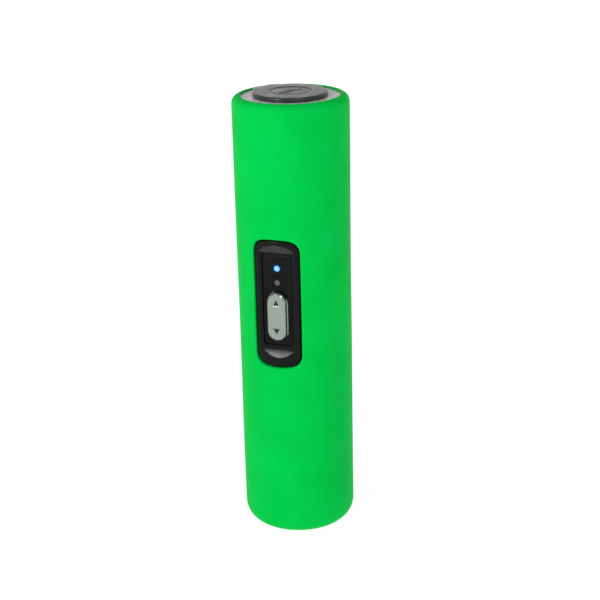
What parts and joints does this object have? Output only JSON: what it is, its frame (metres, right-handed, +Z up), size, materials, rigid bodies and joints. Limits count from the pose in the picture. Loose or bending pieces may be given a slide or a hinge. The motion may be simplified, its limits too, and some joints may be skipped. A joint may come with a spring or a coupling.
{
  "type": "pocket vaporizer",
  "caption": "Round pocket battery vaporizer in a soft silicone sleeve, with a rubber mouth cap and a recessed rocker panel.",
  "frame": {"origin": "centre of the base, on the surface that the part stands on", "axes": "+Z up along the body to the mouth, -Y out of the control panel, +X to the right as the panel is faced"},
  "size_m": [0.031, 0.031, 0.1226],
  "materials": {
    "silicone_green": "satin",
    "anodised_aluminium": "satin",
    "deck_metal": "satin",
    "cap_rubber": "satin",
    "panel_plastic": "satin",
    "overlay_plastic": "gloss",
    "rocker_metal": "satin",
    "blue_light": "gloss",
    "grey_lens": "gloss",
    "steel": "satin",
    "ceramic": "matte",
    "insulation": "matte",
    "seal_rubber": "satin",
    "board_laminate": "satin",
    "black_plastic": "matte",
    "white_plastic": "satin",
    "cell_wrap": "satin",
    "cell_tube": "matte",
    "red_wire": "satin",
    "black_wire": "satin",
    "copper": "satin"
  },
  "bodies": {
    "housing": {"silicone_sleeve": "silicone_green", "body_tube": "anodised_aluminium", "top_plate": "deck_metal", "mouth_guide": "steel", "chamber_seal": "seal_rubber", "oven_cup": "steel", "heater_band": "copper", "insulation_sleeve": "insulation", "ceramic_spacer": "ceramic", "chamber_holder": "black_plastic", "temperature_sensor": "copper", "deck_screw_1": "steel", "deck_screw_2": "steel", "deck_screw_3": "steel", "battery_sleeve": "cell_tube", "cell_bulkhead": "black_plastic", "positive_contact": "copper", "base_ring": "anodised_aluminium", "control_panel": "panel_plastic", "panel_overlay": "overlay_plastic", "rocker_retainer": "steel", "power_light_lens": "blue_light", "heat_light_lens": "grey_lens", "main_board": "board_laminate", "controller_chip": "black_plastic", "inductor": "black_plastic", "power_mosfet": "black_plastic", "charge_jack": "black_plastic", "power_led": "white_plastic", "heat_led": "white_plastic", "upper_switch_body": "steel", "lower_switch_body": "steel", "cell_positive_lead": "red_wire", "cell_negative_lead": "black_wire", "heater_lead_1": "white_plastic", "heater_lead_2": "white_plastic", "jack_lead_1": "black_wire", "jack_lead_2": "red_wire", "retainer_screw_1": "steel", "board_screw_1": "steel", "retainer_screw_2": "steel", "board_screw_2": "steel", "retainer_screw_3": "steel", "board_screw_3": "steel", "retainer_screw_4": "steel", "board_screw_4": "steel"},
    "top_cap": {"top_cap": "cap_rubber"},
    "rocker": {"rocker": "rocker_metal"},
    "upper_plunger": {"upper_switch_plunger": "black_plastic"},
    "lower_plunger": {"lower_switch_plunger": "black_plastic"},
    "cell": {"battery_cell": "cell_wrap", "contact_spring": "steel"},
    "battery_cap": {"battery_cap": "anodised_aluminium", "cap_seal": "seal_rubber"}
  },
  "joints": [
    {"name": "cap_lift", "type": "slide", "parent": "housing", "child": "top_cap", "axis": [0, 0, 1], "range_m": [0, 0.025]},
    {"name": "rocker_tilt", "type": "hinge", "parent": "housing", "child": "rocker", "pos_m": [0, -0.0129, 0.0651], "axis": [1, 0, 0], "range_deg": [-3, 3], "stiffness_Nm_per_rad": 0.02},
    {"name": "upper_press", "type": "slide", "parent": "housing", "child": "upper_plunger", "axis": [0, 1, 0], "range_m": [-0.00022, 0.00022]},
    {"name": "lower_press", "type": "slide", "parent": "housing", "child": "lower_plunger", "axis": [0, 1, 0], "range_m": [-0.00022, 0.00022]},
    {"name": "battery_slide", "type": "slide", "parent": "housing", "child": "cell", "axis": [0, 0, -1], "range_m": [0, 0.004]},
    {"name": "battery_cap_turn", "type": "hinge", "parent": "cell", "child": "battery_cap", "pos_m": [0, 0, 0.0041], "axis": [0, 0, -1], "range_deg": [0, 720]}
  ],
  "couplings": [
    {"joint": "upper_press", "follows": "rocker_tilt", "m_per_rad": -0.0042},
    {"joint": "lower_press", "follows": "rocker_tilt", "m_per_rad": 0.0042},
    {"joint": "battery_cap_turn", "follows": "battery_slide", "rad_per_m": 3141.6}
  ]
}
